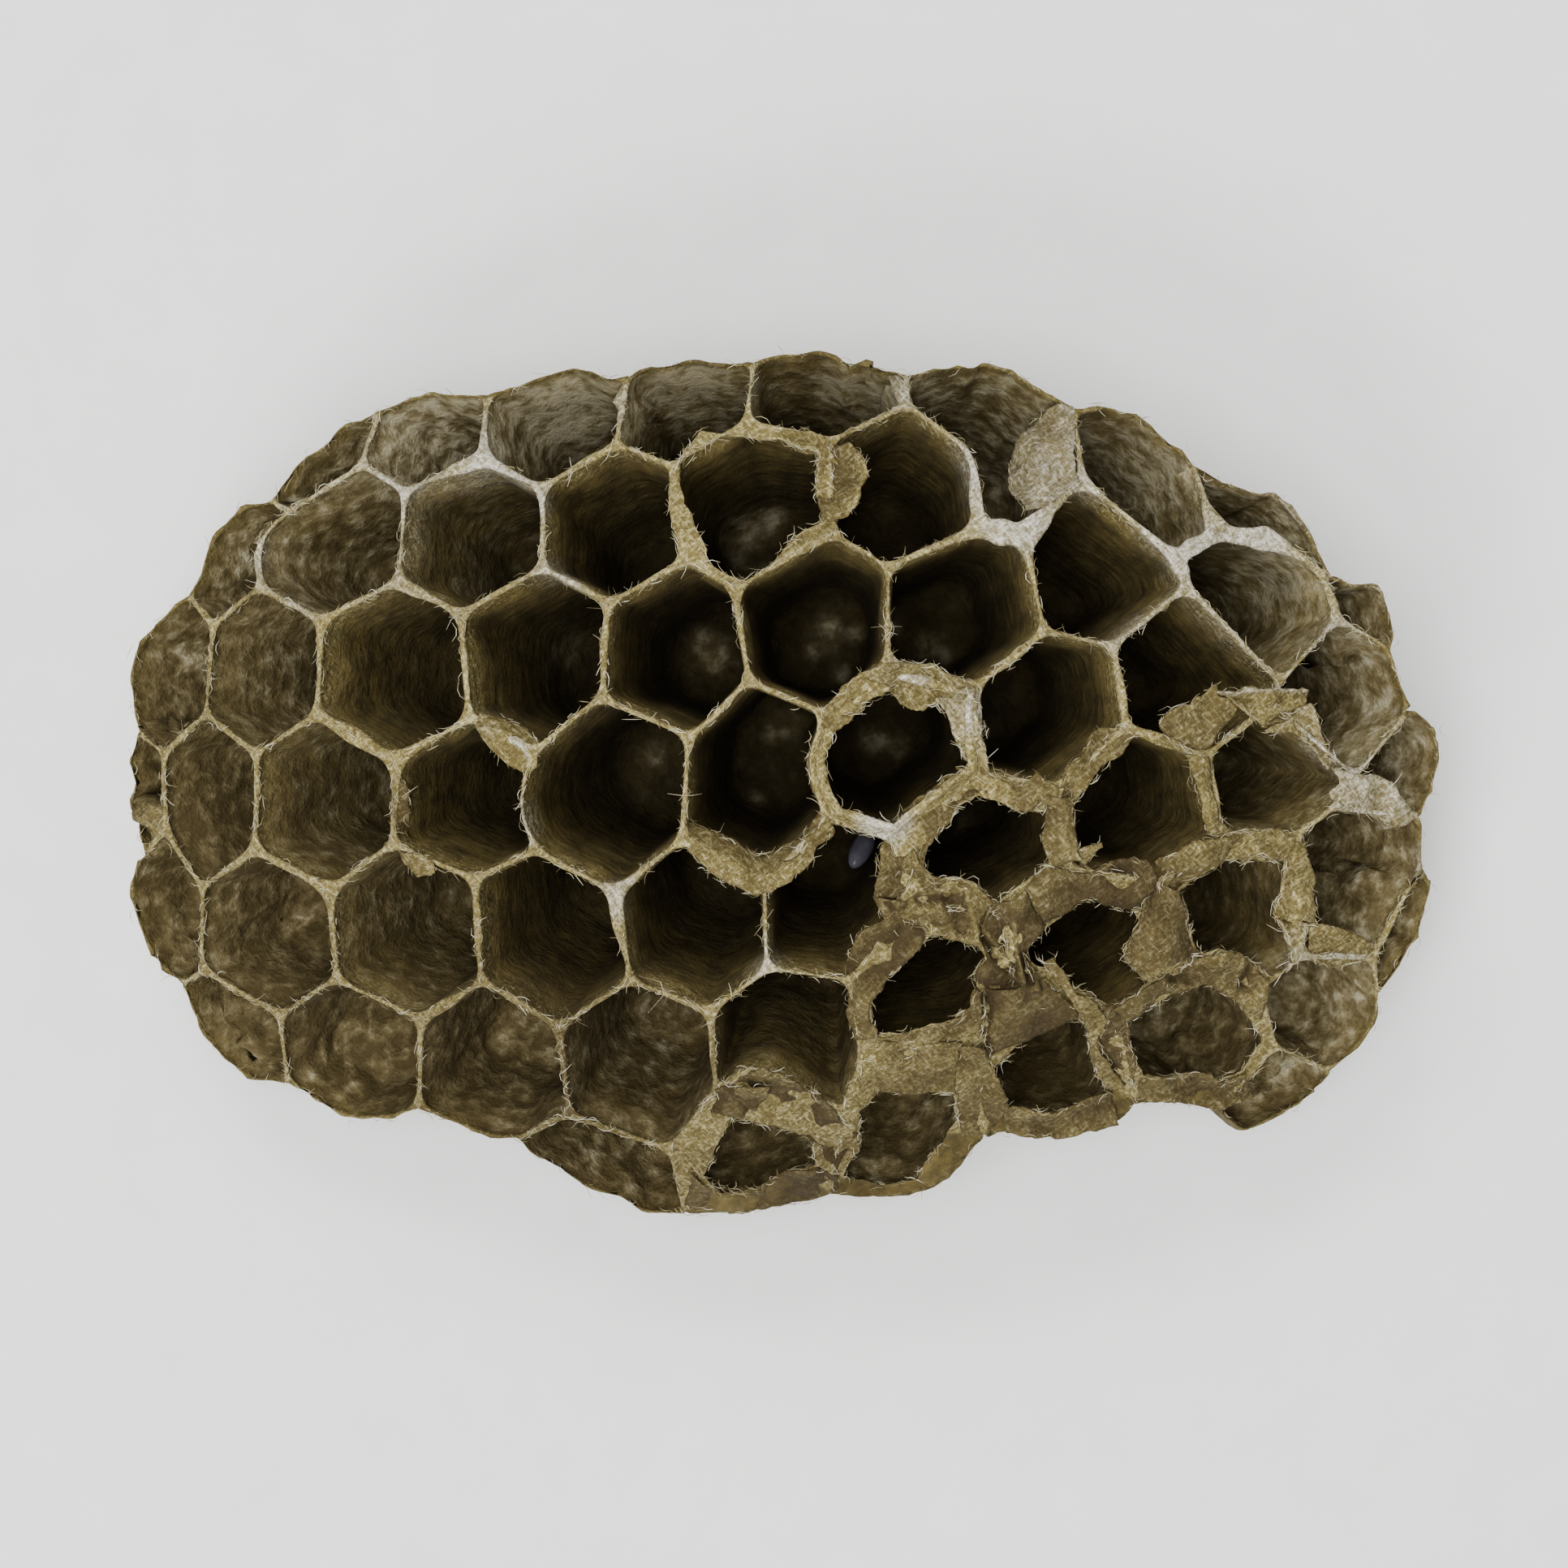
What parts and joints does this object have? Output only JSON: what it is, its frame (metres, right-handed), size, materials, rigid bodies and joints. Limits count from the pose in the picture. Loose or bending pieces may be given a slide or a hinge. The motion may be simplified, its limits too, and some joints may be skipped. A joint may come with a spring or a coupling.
{
  "type": "wasp nest",
  "caption": "Oval paper comb of a wasp lying on its back: open six-sided cells that fan out from a domed middle, some with torn rims, and a pale egg deep in one cell.",
  "frame": {"origin": "the middle of the comb's outline, on the plane that it rests on", "axes": "+X along the comb's long oval, to the picture's right; +Y across it, to the picture's top; +Z out of the cell mouths, towards the camera"},
  "size_m": [0.0608, 0.04, 0.0232],
  "materials": {
    "paper": "matt grey-brown paper of chewed wood fibre, finely banded, paler on the rims",
    "egg shell": "smooth, bluish white, softly glossy"
  },
  "bodies": {
    "root": {"comb": "paper", "egg": "egg shell"}
  },
  "joints": []
}
